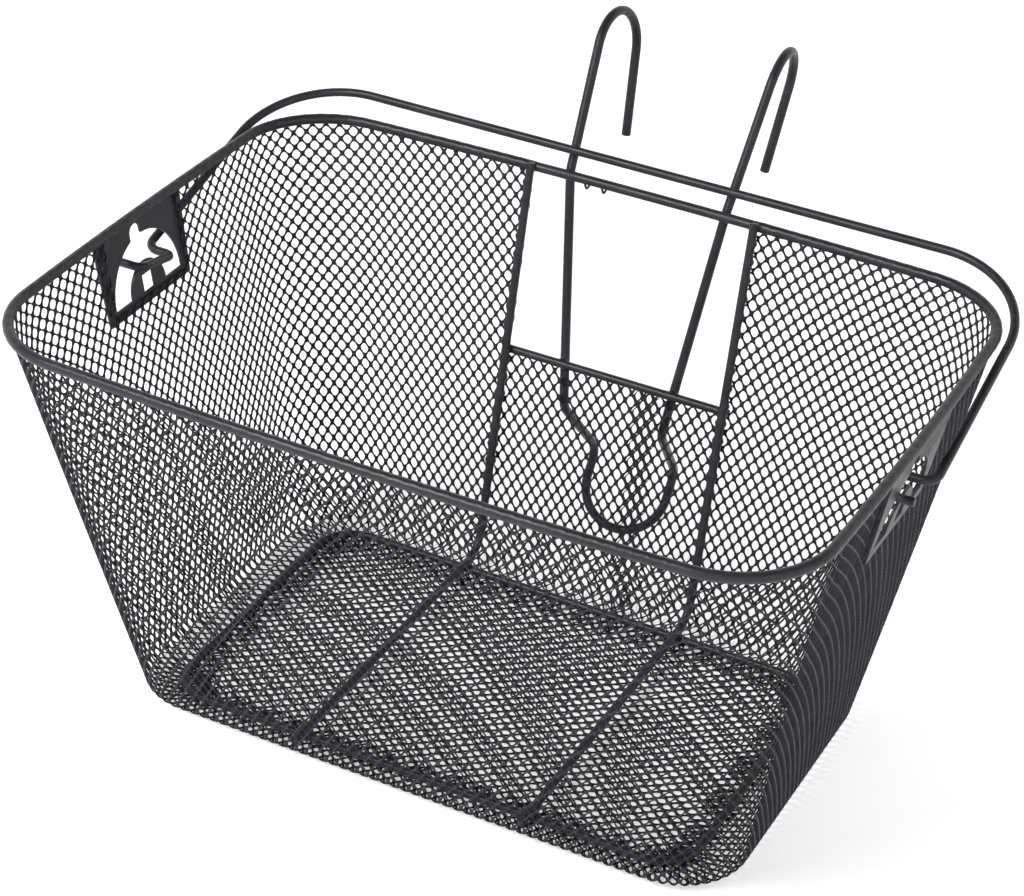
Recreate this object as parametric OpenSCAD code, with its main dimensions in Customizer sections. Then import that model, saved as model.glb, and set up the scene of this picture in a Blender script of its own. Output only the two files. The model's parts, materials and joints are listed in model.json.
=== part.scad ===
// Handlebar basket: expanded-metal walls and floor on a welded wire frame,
// two handlebar hooks with a steering-tube loop, and a folding carry handle.
// Origin: centre of the underside. +X right, -Y front (away from the rider), +Y rear, +Z up.

/* [Basket] */
// Rim width at the middle of its sides, wire centre to wire centre
rim_w = 385; // [360:1:400]
// Rim depth at the middle of the front and rear, wire centre to wire centre
rim_d = 282; // [270:1:290]
// Height of the rim wire's centre
rim_h = 210; // [200:1:220]
// Corner radius of the rim
rim_r = 46; // [36:1:56]
// Width of the walls where they would meet the floor
foot_w = 308; // [296:1:320]
// Depth of the walls where they would meet the floor
foot_d = 186; // [176:1:196]
// How far the foot of the walls sits behind the middle of the rim
foot_shift = 11; // [6:1:14]
// Corner radius of the walls at the floor
foot_r = 34; // [28:1:40]
// Radius of the bend between walls and floor
foot_bend = 5; // [4:1:11]
// Overall thickness of the expanded metal sheet
sheet_t = 1.2; // [1:0.1:1.4]

/* [Wires] */
// Diameter of the rim wire
rim_wire_d = 4.6; // [4.2:0.1:5]
// Diameter of the floor ring wire
ring_wire_d = 4; // [3.6:0.1:4.4]
// Diameter of the two struts and the crossbar
strut_d = 4; // [3.6:0.1:4.4]
// Diameter of the hook wire
hook_d = 4.6; // [4.2:0.1:5]
// Diameter of the carry handle wire
handle_d = 4.2; // [4:0.1:4.4]
// Distance of each strut from the middle
strut_x = 58.5; // [54:0.5:62]
// Height of the crossbar below the rear cut-out
crossbar_h = 116; // [108:1:124]

/* [Hooks] */
// Half the spacing of the hook legs at the rim
hook_x = 41; // [38:0.5:44]
// Radius of the hook bend, wire centre
hook_r = 20.3; // [19:0.1:22]
// Angle of the hook bend
hook_turn = 166.6; // [160:0.2:172]
// Straight length from the rim to the hook bend
hook_leg = 62; // [54:1:64]
// Straight length of the hook's free end
hook_end = 43; // [36:1:48]
// How far each hook's bend is turned towards the middle, in degrees
hook_toe = 3.5; // [0:0.5:6]
// Half the width of the steering-tube loop
loop_x = 22; // [20:0.5:24]
// Height of the loop's lowest point, wire centre
loop_h = 21.5; // [19:0.5:24]
// How far the top of the loop stands behind the legs
loop_back = 34; // [30:0.5:36]
// How far the loop comes forward for each millimetre that it drops
loop_slope = 0.68; // [0.6:0.02:0.72]

/* [Carry handle] */
// Height of the handle's pivot axis
pivot_h = 178; // [177:0.5:179]
// Length from the pivot axis to the handle's cross wire
handle_len = 155.8; // [154:0.1:156]
// Tilt of the folded handle above the horizontal
handle_tilt = 16.5; // [16:0.1:17]
// Corner radius of the handle
handle_r = 48; // [40:1:56]

/* [Hidden] */

WIRE_FN = 36;
BOW_FN = 720;
BLACK = [0.07, 0.07, 0.075];
weld_sink = 0.2;
collar_extra = 0.1;
collar_len = 0.5;

// Floor ring, seen from above
ring_w = 267;
ring_d = 160.4;
ring_r = 20;
ring_shift = 9;
ring_z = 2 * sheet_t + ring_wire_d / 2 - weld_sink / 2;
flange_reach = 12;
floor_margin = 5;

// Long sides of the rim are bowed outward by a large radius that fades out at the floor
rim_bow = 3400;
foot_bow = 60000;

// Rear wall line in the Y-Z plane
rear_foot_y = foot_shift + foot_d / 2;
rear_slope = (rim_d / 2 - rear_foot_y) / rim_h;
side_slope = (rim_w - foot_w) / 2 / rim_h;
rear_lean = atan(rear_slope);
side_lean = atan(side_slope);
function rear_y(z) = rear_foot_y + rear_slope * z;
function side_x(z) = foot_w / 2 + side_slope * z;

// Struts stand inside the rear wall and cross the floor above the ring
strut_inset = strut_d - weld_sink;
strut_floor_z = ring_z + (ring_wire_d + strut_d) / 2 - weld_sink;
strut_top_z = rim_h + 2.5;
strut_bend = 14;
strut_front_y = -82;
crossbar_len = 2 * strut_x + strut_d;

// Hook frame
hook_dir = [0.067, 0.583, 1] / norm([0.067, 0.583, 1]);
hook_toe_dir = [-sin(hook_toe), cos(hook_toe), 0];
hook_out = unit(hook_toe_dir - hook_dir * (hook_dir * hook_toe_dir));
hook_gap = (rim_wire_d + hook_d) / 2 - weld_sink;
leg_gap = (strut_d + hook_d) / 2 - weld_sink;
leg_x_at_crossbar = 29.5;
jog_top_z = 92;
jog_low_z = 52;
jog_r = 9.5;
kink_r = 10;

// Side plates, in the Y-Z plane before they lean with the wall
plate_t = 1.5;
plate_y = -2;
plate_low_half = 33.5;
plate_top_half = 36;
plate_low_z = 166;
plate_top_z = 209.3;
arch_z = 172;
arch_r_out = 27.6;
arch_r_in = 13.9;
arch_drop = 0.8;
notch_y = -5.6;
notch_w = 8.6;
notch_top_z = 205.6;
window_w = 8.5;
window_h = 8.8;
opening_margin = 4;

// Carry handle, in its own plane: u runs from the pivot axis to the cross wire, n is upward
pivot_y = -6;
handle_x = rim_w / 2 + (rim_wire_d + handle_d) / 2 + 0.5;
staple_x = 183.2;
staple_u = 19.5;
stub_r = 13.2;
stub_turn = 109;
stub_x = 197.5;
elbow_r = 6;
staple_r = 4;

// ---------- helpers ----------

function unit(v) = v / norm(v);
function bend_of(pts, i) = acos(min(1, unit(pts[i] - pts[i - 1]) * unit(pts[i + 1] - pts[i])));
function trim(pts, radii, i) =
    (i == 0 || i == len(pts) - 1) ? 0 : radii[i] * tan(bend_of(pts, i) / 2);
function mirrored(pts) = [for (i = [len(pts) - 1:-1:0]) [-pts[i].x, pts[i].y, pts[i].z]];
function backward(list) = [for (i = [len(list) - 1:-1:0]) list[i]];

// A straight wire between two points
module wire_run(p, q, d) {
    v = q - p;
    translate(p)
        rotate([0, acos(v.z / norm(v)), atan2(v.y, v.x)])
            cylinder(h = norm(v), d = d, $fn = WIRE_FN);
}

// A bent wire that turns corner q between directions p-q and q-s
module wire_bend(p, q, s, r, d) {
    a = unit(q - p);
    b = unit(s - q);
    turn = acos(a * b);
    centre = q + unit(b - a) * r / cos(turn / 2);
    e1 = unit(q - a * r * tan(turn / 2) - centre);
    e3 = unit(cross(a, b));
    e2 = cross(e3, e1);
    multmatrix([[e1.x, e2.x, e3.x, centre.x],
                [e1.y, e2.y, e3.y, centre.y],
                [e1.z, e2.z, e3.z, centre.z],
                [0, 0, 0, 1]])
        rotate_extrude(angle = turn, $fn = 96)
            translate([r, 0])
                circle(d = d, $fn = WIRE_FN);
}

// A wire bent at every inner point of a path, as on a wire-bending machine
module bent_wire(pts, radii, d) {
    last = len(pts) - 1;
    for (i = [0:last - 1]) {
        dir = unit(pts[i + 1] - pts[i]);
        from = pts[i] + dir * trim(pts, radii, i);
        to = pts[i + 1] - dir * trim(pts, radii, i + 1);
        if (norm(to - from) > 0.01)
            wire_run(from, to, d);
    }
    for (i = [1:last - 1]) {
        before = unit(pts[i] - pts[i - 1]);
        after = unit(pts[i + 1] - pts[i]);
        wire_bend(pts[i - 1], pts[i], pts[i + 1], radii[i], d);
        joint_collar(pts[i] - before * trim(pts, radii, i), before, d);
        joint_collar(pts[i] + after * trim(pts, radii, i), after, d);
    }
}

// A short collar, a hair's breadth wider than the wire, that joins one stretch to the next
module joint_collar(p, dir, d) {
    wire_run(p - dir * collar_len / 2, p + dir * collar_len / 2, d + collar_extra);
}

// An arc of wire in the X-Y plane
module flat_arc(centre, r, from, to, d, fn) {
    translate([centre.x, centre.y, 0])
        rotate([0, 0, from])
            rotate_extrude(angle = to - from, $fn = fn)
                translate([r, 0])
                    circle(d = d, $fn = WIRE_FN);
}

// Corner centre of a rectangle whose sides are arcs of radius bow
function corner_centre(a, b, r, bow) =
    let (c1 = [0, b - bow], c2 = [a - bow, 0], gap = norm(c2 - c1))
    let (mid = (c1 + c2) / 2, across = [-(c2 - c1).y, (c2 - c1).x] / gap)
    let (n = across.x > 0 ? across : -across)
    mid + n * sqrt((bow - r) * (bow - r) - gap * gap / 4);

function back_angle(a, b, r, bow) =
    let (c = corner_centre(a, b, r, bow)) atan2(c.y - b + bow, c.x);
function side_angle(a, b, r, bow) =
    let (c = corner_centre(a, b, r, bow)) atan2(c.y, c.x - a + bow);

CORNER_STEPS = 6;
SIDE_STEPS = 4;
function arc_points(centre, r, from, to, steps, skip) =
    [for (i = [skip:steps - skip]) let (t = from + (to - from) * i / steps)
        centre + r * [cos(t), sin(t)]];

// Closed outline of a bowed rectangle with half sizes a and b
function outline(a, b, r, bow) =
    let (c = corner_centre(a, b, r, bow))
    let (back = back_angle(a, b, r, bow), side = side_angle(a, b, r, bow))
    let (half = concat(
        arc_points(c, r, side, back, CORNER_STEPS, 0),
        arc_points([0, b - bow], bow, back, 180 - back, SIDE_STEPS + 1, 1),
        arc_points([-c.x, c.y], r, 180 - back, 180 - side, CORNER_STEPS, 0),
        arc_points([bow - a, 0], bow, 180 - side, 180 + side, SIDE_STEPS + 1, 1)))
    concat(half, -half);

// One level of the wall: half sizes, corner radius, bow, shift, height, and the sheet's tilt
function level(a, b, r, bow, shift, z, tilt) = [a, b, r, bow, shift, z, tilt];
function level_points(s, side) =
    let (grow = side * sin(s[6]) * sheet_t / 2, drop = side * cos(s[6]) * sheet_t / 2)
    [for (p = outline(s[0] + grow, s[1] + grow, s[2] + grow, s[3]))
        [p.x, p.y + s[4], s[5] - drop]];

// The straight part of the wall at height z
function wall_level(z, tilt) =
    let (k = z / rim_h)
    level(foot_w / 2 + (rim_w - foot_w) / 2 * k,
          foot_d / 2 + (rim_d - foot_d) / 2 * k,
          foot_r + (rim_r - foot_r) * k,
          1 / (k / rim_bow + (1 - k) / foot_bow),
          foot_shift * (1 - k), z, tilt);

// The bend between wall and floor, by the angle that the sheet has turned
flange_z = sheet_t * 1.5;
function bend_level(turn) =
    let (inset = foot_bend * (1 - sin(turn)), z = flange_z + foot_bend * (1 - cos(turn)))
    let (w = wall_level(flange_z + foot_bend, turn))
    level(w[0] - inset, w[1] - inset, w[2] - inset, w[3], w[4], z, turn);

wall_levels = concat(
    [level(ring_w / 2 - flange_reach, ring_d / 2 - flange_reach, ring_r - flange_reach,
           foot_bow, ring_shift, flange_z, 0)],
    [for (turn = [0, 25, 50, 75]) bend_level(turn)],
    [for (z = [rim_h * 0.15, rim_h * 0.5, rim_h * 0.8, rim_h - 0.8]) wall_level(z, 90 - side_lean)]);

// Closed shell through a loop of equal outlines
module shell(rings) {
    n = len(rings[0]);
    m = len(rings);
    polyhedron(
        points = [for (ring = rings) for (p = ring) p],
        faces = [for (i = [0:m - 1]) for (j = [0:n - 1])
            let (i2 = (i + 1) % m, j2 = (j + 1) % n)
            for (tri = [[i * n + j, i2 * n + j, i2 * n + j2], [i * n + j, i2 * n + j2, i * n + j2]])
                tri],
        convexity = 8);
}

module rounded_slab(w, d, r, h) {
    linear_extrude(height = h)
        difference() {
            square([w, d], center = true);
            for (sx = [-1, 1], sy = [-1, 1])
                translate([sx * w / 2, sy * d / 2])
                    corner_cut(r, sx, sy);
        }
}

// The sliver outside a rounded corner
module corner_cut(r, sx, sy) {
    difference() {
        square(2 * r, center = true);
        translate([-sx * r, -sy * r])
            circle(r = r, $fn = 64);
        translate([-sx * 2 * r, 0])
            square([2 * r, 4 * r], center = true);
        translate([0, -sy * 2 * r])
            square([4 * r, 2 * r], center = true);
    }
}

// ---------- frame ----------

module rim_wire() {
    a = rim_w / 2;
    b = rim_d / 2;
    c = corner_centre(a, b, rim_r, rim_bow);
    back = back_angle(a, b, rim_r, rim_bow);
    side = side_angle(a, b, rim_r, rim_bow);
    color(BLACK)
        translate([0, 0, rim_h])
            for (turn = [0, 180])
                rotate([0, 0, turn]) {
                    flat_arc(c, rim_r, side, back, rim_wire_d, 96);
                    flat_arc([-c.x, c.y], rim_r, 180 - back, 180 - side, rim_wire_d, 96);
                    flat_arc([0, b - rim_bow], rim_bow, back, 180 - back, rim_wire_d, BOW_FN);
                    flat_arc([a - rim_bow, 0], rim_bow, -side, side, rim_wire_d, BOW_FN);
                    for (sx = [-1, 1], t = [side, back])
                        joint_collar([sx * (c.x + rim_r * cos(t)), c.y + rim_r * sin(t), 0],
                                     [-sx * sin(t), cos(t), 0], rim_wire_d);
                }
}

module base_ring() {
    run_x = ring_w / 2 - ring_r;
    run_y = ring_d / 2 - ring_r;
    color(BLACK)
        translate([0, ring_shift, ring_z]) {
            for (s = [-1, 1]) {
                wire_run([-run_x, s * ring_d / 2, 0], [run_x, s * ring_d / 2, 0], ring_wire_d);
                wire_run([s * ring_w / 2, -run_y, 0], [s * ring_w / 2, run_y, 0], ring_wire_d);
            }
            flat_arc([run_x, run_y], ring_r, 0, 90, ring_wire_d, 96);
            flat_arc([-run_x, run_y], ring_r, 90, 180, ring_wire_d, 96);
            flat_arc([-run_x, -run_y], ring_r, 180, 270, ring_wire_d, 96);
            flat_arc([run_x, -run_y], ring_r, 270, 360, ring_wire_d, 96);
        }
}

module strut(x) {
    inset = strut_inset / cos(rear_lean);
    path = [[x, rear_y(strut_top_z) - inset, strut_top_z],
            [x, rear_y(strut_floor_z) - inset, strut_floor_z],
            [x, strut_front_y, strut_floor_z]];
    color(BLACK)
        bent_wire(path, [0, strut_bend, 0], strut_d);
}

module strut_left() {
    strut(-strut_x);
}

module strut_right() {
    strut(strut_x);
}

module crossbar() {
    color(BLACK)
        translate([-crossbar_len / 2, rear_y(crossbar_h), crossbar_h])
            rotate([0, 90, 0])
                cylinder(h = crossbar_len, d = strut_d, $fn = WIRE_FN);
}

// ---------- handlebar hooks and steering-tube loop ----------

// Right half of the hook frame, from the free end to the middle of the loop
function hook_half() =
    let (kink = [hook_x, rim_d / 2 + hook_gap / cos(rear_lean), rim_h])
    let (pass = [leg_x_at_crossbar, rear_y(crossbar_h) + leg_gap / cos(rear_lean), crossbar_h])
    let (leg = (kink - pass) / (kink.z - pass.z))
    let (jog_top = pass + leg * (jog_top_z - crossbar_h))
    let (jog_low = [loop_x, jog_top.y + loop_back, jog_low_z])
    let (low = [loop_x, jog_low.y - loop_slope * (jog_low_z - loop_h), loop_h])
    let (half_turn = hook_turn / 2, reach = hook_r * tan(hook_turn / 4))
    let (first = kink + hook_dir * (hook_leg + reach))
    let (over = hook_dir * cos(half_turn) + hook_out * sin(half_turn))
    let (second = first + over * 2 * reach)
    let (down = hook_dir * cos(hook_turn) + hook_out * sin(hook_turn))
    [second + down * (reach + hook_end), second, first, kink, jog_top, jog_low, low];

module hook_frame() {
    half = hook_half();
    radii = [0, hook_r, hook_r, kink_r, jog_r, jog_r, loop_x];
    color(BLACK)
        bent_wire(concat(half, mirrored(half)), concat(radii, backward(radii)), hook_d);
}

// ---------- side plates ----------

// Arch slot that the handle's ends slide in, with a notch at its top
module arch_slot() {
    difference() {
        translate([plate_y, arch_z])
            circle(r = arch_r_out, $fn = 96);
        translate([plate_y, arch_z])
            circle(r = arch_r_in, $fn = 96);
        translate([plate_y - 40, arch_z - arch_drop - 60])
            square([80, 60]);
        translate([plate_y - arch_r_in, arch_z - 10])
            square([2 * arch_r_in, 10]);
    }
    translate([notch_y - notch_w / 2, arch_z + arch_r_in + 6])
        square([notch_w, notch_top_z - notch_w / 2 - arch_z - arch_r_in - 6]);
    translate([notch_y, notch_top_z - notch_w / 2])
        circle(d = notch_w, $fn = 48);
}

module plate_outline() {
    difference() {
        polygon([[plate_y - plate_low_half, plate_low_z], [plate_y + plate_low_half, plate_low_z],
                 [plate_y + plate_top_half, plate_top_z], [plate_y - plate_top_half, plate_top_z]]);
        arch_slot();
        translate([plate_y - window_w / 2, arch_z - arch_drop])
            square([window_w, window_h]);
    }
}

// The plate lies on the outside of the wall and is cut square to the X axis
module side_plate(s) {
    gap = sheet_t / 2 / cos(side_lean);
    color(BLACK)
        intersection() {
            translate([s * 190 - 40, 0, 0])
                rotate([90, 0, 90])
                    linear_extrude(height = 80)
                        plate_outline();
            translate([s * (foot_w / 2 + gap), -60, 0])
                rotate([0, s * side_lean, 0])
                    translate([s > 0 ? 0 : -plate_t, 0, 100])
                        cube([plate_t, 120, 140]);
        }
}

module side_plate_left() {
    side_plate(-1);
}

module side_plate_right() {
    side_plate(1);
}

// ---------- expanded metal ----------

module wall_mesh() {
    cut_x = strut_x - strut_d / 2;
    color(BLACK)
        difference() {
            shell(concat([for (s = wall_levels) level_points(s, 1)],
                         [for (s = backward(wall_levels)) level_points(s, -1)]));
            translate([-cut_x, 60, crossbar_h + strut_d / 4])
                cube([2 * cut_x, 120, 140]);
            for (s = [-1, 1])
                translate([s > 0 ? 120 : -220,
                           plate_y - plate_low_half + opening_margin,
                           plate_low_z + opening_margin])
                    cube([100, 2 * (plate_low_half - opening_margin), 80]);
        }
}

module floor_mesh() {
    color(BLACK)
        translate([0, ring_shift, 0])
            rounded_slab(ring_w + 2 * floor_margin, ring_d + 2 * floor_margin,
                         ring_r + floor_margin, sheet_t);
}

// ---------- carry handle ----------

// Right half of the handle in its own plane, from the stub to the corner
function handle_half() =
    let (stub_u = stub_r * cos(stub_turn), stub_n = stub_r * sin(stub_turn))
    [[stub_x, stub_u, stub_n], [staple_x, stub_u, stub_n], [staple_x, staple_u, 0],
     [handle_x, staple_u, 0], [handle_x, handle_len, 0]];

module carry_handle() {
    half = handle_half();
    radii = [0, staple_r, staple_r, elbow_r, handle_r];
    color(BLACK)
        translate([0, pivot_y, pivot_h])
            rotate([handle_tilt, 0, 0])
                bent_wire(concat(half, mirrored(half)), concat(radii, backward(radii)), handle_d);
}

rim_wire();
base_ring();
strut_left();
strut_right();
crossbar();
hook_frame();
side_plate_left();
side_plate_right();
wall_mesh();
floor_mesh();
carry_handle();
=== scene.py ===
# Handlebar basket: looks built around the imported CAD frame. +Z up, front at -Y.
# Sizes are in millimetres unless a comment says metres. Meshes are made in metres.
import json
import math

import bmesh
import bpy
import numpy as np
from mathutils import Matrix, Vector


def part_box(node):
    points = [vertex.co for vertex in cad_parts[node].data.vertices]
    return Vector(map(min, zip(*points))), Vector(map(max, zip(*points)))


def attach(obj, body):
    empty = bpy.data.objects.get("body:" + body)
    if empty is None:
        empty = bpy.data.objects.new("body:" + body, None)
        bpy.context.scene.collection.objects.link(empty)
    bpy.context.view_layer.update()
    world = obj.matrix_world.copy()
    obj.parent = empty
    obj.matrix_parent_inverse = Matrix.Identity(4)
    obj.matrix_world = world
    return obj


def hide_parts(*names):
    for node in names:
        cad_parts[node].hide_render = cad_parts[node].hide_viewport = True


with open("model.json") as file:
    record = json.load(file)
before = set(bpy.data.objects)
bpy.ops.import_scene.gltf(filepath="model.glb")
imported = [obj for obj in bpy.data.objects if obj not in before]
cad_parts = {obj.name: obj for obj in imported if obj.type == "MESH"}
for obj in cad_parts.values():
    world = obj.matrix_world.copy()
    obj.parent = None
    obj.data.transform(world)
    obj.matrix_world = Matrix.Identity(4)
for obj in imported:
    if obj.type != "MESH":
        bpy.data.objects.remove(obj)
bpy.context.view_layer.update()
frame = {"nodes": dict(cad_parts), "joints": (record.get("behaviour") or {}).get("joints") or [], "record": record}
MM = 0.001


def cad_box(node):
    """Lowest and highest corner of a CAD node, in millimetres."""
    low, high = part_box(node)
    return [v / MM for v in low], [v / MM for v in high]


# ---------- sizes read from the frame, in millimetres ----------

rim_low, rim_high = cad_box("rim_wire")
ring_low, ring_high = cad_box("base_ring")
bar_low, bar_high = cad_box("crossbar")
left_low, left_high = cad_box("strut_left")
floor_low, floor_high = cad_box("floor_mesh")
hinge = frame["joints"][0]

RIM_D = rim_high[2] - rim_low[2]
RING_D = ring_high[2] - ring_low[2]
STRUT_D = left_high[0] - left_low[0]
RIM_H = (rim_high[2] + rim_low[2]) / 2
RIM_W = rim_high[0] - rim_low[0] - RIM_D
RIM_DEPTH = rim_high[1] - rim_low[1] - RIM_D
RING_W = ring_high[0] - ring_low[0] - RING_D
RING_DEPTH = ring_high[1] - ring_low[1] - RING_D
RING_SHIFT = (ring_high[1] + ring_low[1]) / 2
RING_Z = (ring_high[2] + ring_low[2]) / 2
STRUT_X = -(left_high[0] + left_low[0]) / 2
STRUT_TOP = left_high[2]
STRUT_FRONT = left_low[1]
BAR_Z = (bar_high[2] + bar_low[2]) / 2
BAR_HALF = bar_high[0]
PIVOT_Y, PIVOT_Z = hinge["pos_m"][1] / MM, hinge["pos_m"][2] / MM

# ---------- shape of the walls, as the CAD model has it ----------

# corner radius at the rim and of the floor ring
RIM_R, RING_R = 46, 20
# the walls' outline where they would meet the floor, and the bend there
FOOT_W, FOOT_DEPTH, FOOT_SHIFT, FOOT_R, FOOT_BEND = 308, 186, 11, 34, 5
# how far the flange reaches in from the floor ring's centre line, and the sheet's height there
FLANGE_REACH, SHEET_Z = 12, 1.8
# radius of the long sides' bow at the rim and at the foot
RIM_BOW, FOOT_BOW = 3400, 60000

REAR_FOOT_Y = FOOT_SHIFT + FOOT_DEPTH / 2
REAR_SLOPE = (RIM_DEPTH / 2 - REAR_FOOT_Y) / RIM_H
SIDE_SLOPE = (RIM_W - FOOT_W) / 2 / RIM_H
REAR_LEAN = math.atan(REAR_SLOPE)
SIDE_LEAN = math.atan(SIDE_SLOPE)

# ---------- expanded metal ----------

# columns of cells along the rear (or front), round one corner and along one side
REAR_COLUMNS, CORNER_COLUMNS, SIDE_COLUMNS = 45, 10.25, 24.5
COLUMNS = int(2 * REAR_COLUMNS + 4 * CORNER_COLUMNS + 2 * SIDE_COLUMNS)
# a strand's length between bonds, half its width, its thickness, and the lift at its twisted edge
STRAND_LENGTH, STRAND_HALF, STRAND_THICK, STRAND_TWIST = 5.27, 0.48, 0.9, 0.2
# the edge of a strand is rounded from this share of its half width, at this share of its height
SHOULDER_IN, SHOULDER_UP = 0.27, 0.72
# a cell is never wider than this many strand lengths
WIDEST_CELL = 1.8
# how many columns the sheet slants by up to the rim, and how far its rows sag at the corners
SLANT_COLUMNS, CORNER_SAG, SAG_POWER = 1.8, 15.0, 1.6
# share of the sag that is left at the middle of a side
SIDE_SAG = 0.45
# outline of a hole: its exponent, its share of the room, the least share, and its points
HOLE_ROUND, HOLE_FILL, HOLE_LEAST, HOLE_POINTS = 1.45, 0.825, 0.12, 12
# the floor's cells, along X and Y
FLOOR_PITCH = (7.4, 5.9)
# neighbouring cells share a vertex where they agree on a grid with this many steps per millimetre
WELD_GRID = 200
# step for the sheet's slope, and how far up, as a share of the wall, the slant and sag go on
SLOPE_STEP, MOST_UP = 0.02, 1.2
# how much of a wire's radius is rounded off at its ends
END_ROUND = 0.35


def rear_y(z):
    return REAR_FOOT_Y + REAR_SLOPE * z


def unit(v):
    return v / np.linalg.norm(v)


# ---------- outlines ----------


def corner_of(a, b, r, bow):
    """Centre of the corner arc, and the angles where it meets the rear and side arcs. Arrays."""
    c1x, c1y, c2x, c2y = 0 * a, b - bow, a - bow, 0 * a
    dx, dy = c2x - c1x, c2y - c1y
    gap = np.hypot(dx, dy)
    nx, ny = -dy / gap, dx / gap
    flip = np.where(nx > 0, 1.0, -1.0)
    rise = np.sqrt((bow - r) ** 2 - gap**2 / 4)
    x = (c1x + c2x) / 2 + flip * nx * rise
    y = (c1y + c2y) / 2 + flip * ny * rise
    return x, y, np.arctan2(y - b + bow, x), np.arctan2(y, x - a + bow)


def outline(column, a, b, r, bow):
    """Point of a bowed rounded rectangle at a column, counted from the middle of the rear towards +X."""
    c = np.mod(column, COLUMNS)
    half = COLUMNS / 2
    turned = c > half
    c = np.where(turned, COLUMNS - c, c)
    front = c > half / 2
    c = np.where(front, half - c, c)
    x0, y0, back, side = corner_of(a, b, r, bow)
    at_rear = REAR_COLUMNS / 2
    t1 = np.clip(c / at_rear, 0, 1)
    ang1 = math.pi / 2 + (back - math.pi / 2) * t1
    t2 = np.clip((c - at_rear) / CORNER_COLUMNS, 0, 1)
    ang2 = back + (side - back) * t2
    t3 = np.clip((c - at_rear - CORNER_COLUMNS) / (SIDE_COLUMNS / 2), 0, 1)
    ang3 = side * (1 - t3)
    rear, corner = c <= at_rear, c <= at_rear + CORNER_COLUMNS
    x = np.where(
        rear, bow * np.cos(ang1), np.where(corner, x0 + r * np.cos(ang2), a - bow + bow * np.cos(ang3))
    )
    y = np.where(
        rear, b - bow + bow * np.sin(ang1), np.where(corner, y0 + r * np.sin(ang2), bow * np.sin(ang3))
    )
    return np.where(turned, -x, x), np.where(front, -y, y)


def wall_size(z):
    k = z / RIM_H
    return (
        FOOT_W / 2 + (RIM_W - FOOT_W) / 2 * k,
        FOOT_DEPTH / 2 + (RIM_DEPTH - FOOT_DEPTH) / 2 * k,
        FOOT_R + (RIM_R - FOOT_R) * k,
        1 / (k / RIM_BOW + (1 - k) / FOOT_BOW),
        FOOT_SHIFT * (1 - k),
    )


BEND_TOP = SHEET_Z + FOOT_BEND
bend_size = wall_size(BEND_TOP)
FLANGE_RUN = bend_size[0] - FOOT_BEND - (RING_W / 2 - FLANGE_REACH)
BEND_TURN = math.pi / 2 - SIDE_LEAN
BEND_RUN = FOOT_BEND * BEND_TURN
WALL_START = FLANGE_RUN + BEND_RUN
WALL_Z0 = SHEET_Z + FOOT_BEND * (1 - math.cos(BEND_TURN))
RIM_RUN = WALL_START + (RIM_H - WALL_Z0) / math.cos(SIDE_LEAN)
# what would pass the rim is pressed together to this share, inside the rolled edge
PAST_RIM = 0.15


def sheet_point(column, run):
    """Middle of the sheet, run millimetres up from the flange's inner edge. Arrays."""
    run = np.where(run > RIM_RUN, RIM_RUN + PAST_RIM * (run - RIM_RUN), run)
    t = np.clip(run / FLANGE_RUN, 0, 1)
    turn = np.clip((run - FLANGE_RUN) / FOOT_BEND, 0, BEND_TURN)
    z = np.where(
        run > WALL_START,
        WALL_Z0 + (run - WALL_START) * math.cos(SIDE_LEAN),
        SHEET_Z + FOOT_BEND * (1 - np.cos(turn)),
    )
    a, b, r, bow, shift = wall_size(np.maximum(z, BEND_TOP))
    inset = np.where(run > WALL_START, 0, FOOT_BEND * (1 - np.sin(turn)))
    blend = np.where(run > WALL_START, np.minimum((z - WALL_Z0) / (BEND_TOP - WALL_Z0), 1), 0)
    inset = inset + np.where(
        run > WALL_START, (1 - blend) * FOOT_BEND * (1 - math.sin(BEND_TURN)), 0
    )
    inner = (RING_W / 2 - FLANGE_REACH, RING_DEPTH / 2 - FLANGE_REACH, RING_R - FLANGE_REACH, RING_SHIFT)
    a = inner[0] + (a - inset - inner[0]) * t
    b = inner[1] + (b - inset - inner[1]) * t
    r = inner[2] + (r - inset - inner[2]) * t
    shift = inner[3] + (shift - inner[3]) * t
    x, y = outline(column, a, b, r, bow)
    return np.stack([x, y + shift, z], -1)


def corner_share(column):
    """0 at the middle of the rear and front, 1 at the corners, part way back at the sides."""
    c = np.mod(column, COLUMNS / 2)
    c = np.minimum(c, COLUMNS / 2 - c)
    at_rear = REAR_COLUMNS / 2
    rear = (np.minimum(c, at_rear) / at_rear) ** 2
    from_side = np.clip((COLUMNS / 4 - c) / (SIDE_COLUMNS / 2), 0, 1)
    side = SIDE_SAG + (1 - SIDE_SAG) * from_side**2
    return np.where(c > at_rear + CORNER_COLUMNS, side, rear)


def sheet_param(column, run):
    """The slant of the columns, and the sag of the rows towards the corners."""
    up = np.clip((run - WALL_START) / (RIM_RUN - WALL_START), 0, MOST_UP)
    return column - SLANT_COLUMNS * up, run - CORNER_SAG * up**SAG_POWER * corner_share(column)


def wall_surface(column, run, lift):
    """Point of the wall's sheet, lifted along its outward normal."""
    e = SLOPE_STEP
    p = sheet_point(column, run)
    du = sheet_point(column + e, run) - sheet_point(column - e, run)
    dv = sheet_point(column, run + e) - sheet_point(column, run - e)
    n = np.cross(dv, du)
    n = n / np.maximum(np.linalg.norm(n, axis=-1, keepdims=True), 1e-12)
    return p + n * lift[..., None]


def floor_surface(x, y, lift):
    return np.stack([x, y, SHEET_Z - STRAND_THICK + lift], -1)


# ---------- one diamond cell ----------

# Strand centre lines round a cell: bonds at the corners, and the middle of each strand
RIM_UV = np.array([(1, 0), (0.5, 0.5), (0, 1), (-0.5, 0.5), (-1, 0), (-0.5, -0.5), (0, -1), (0.5, -0.5)])


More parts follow.
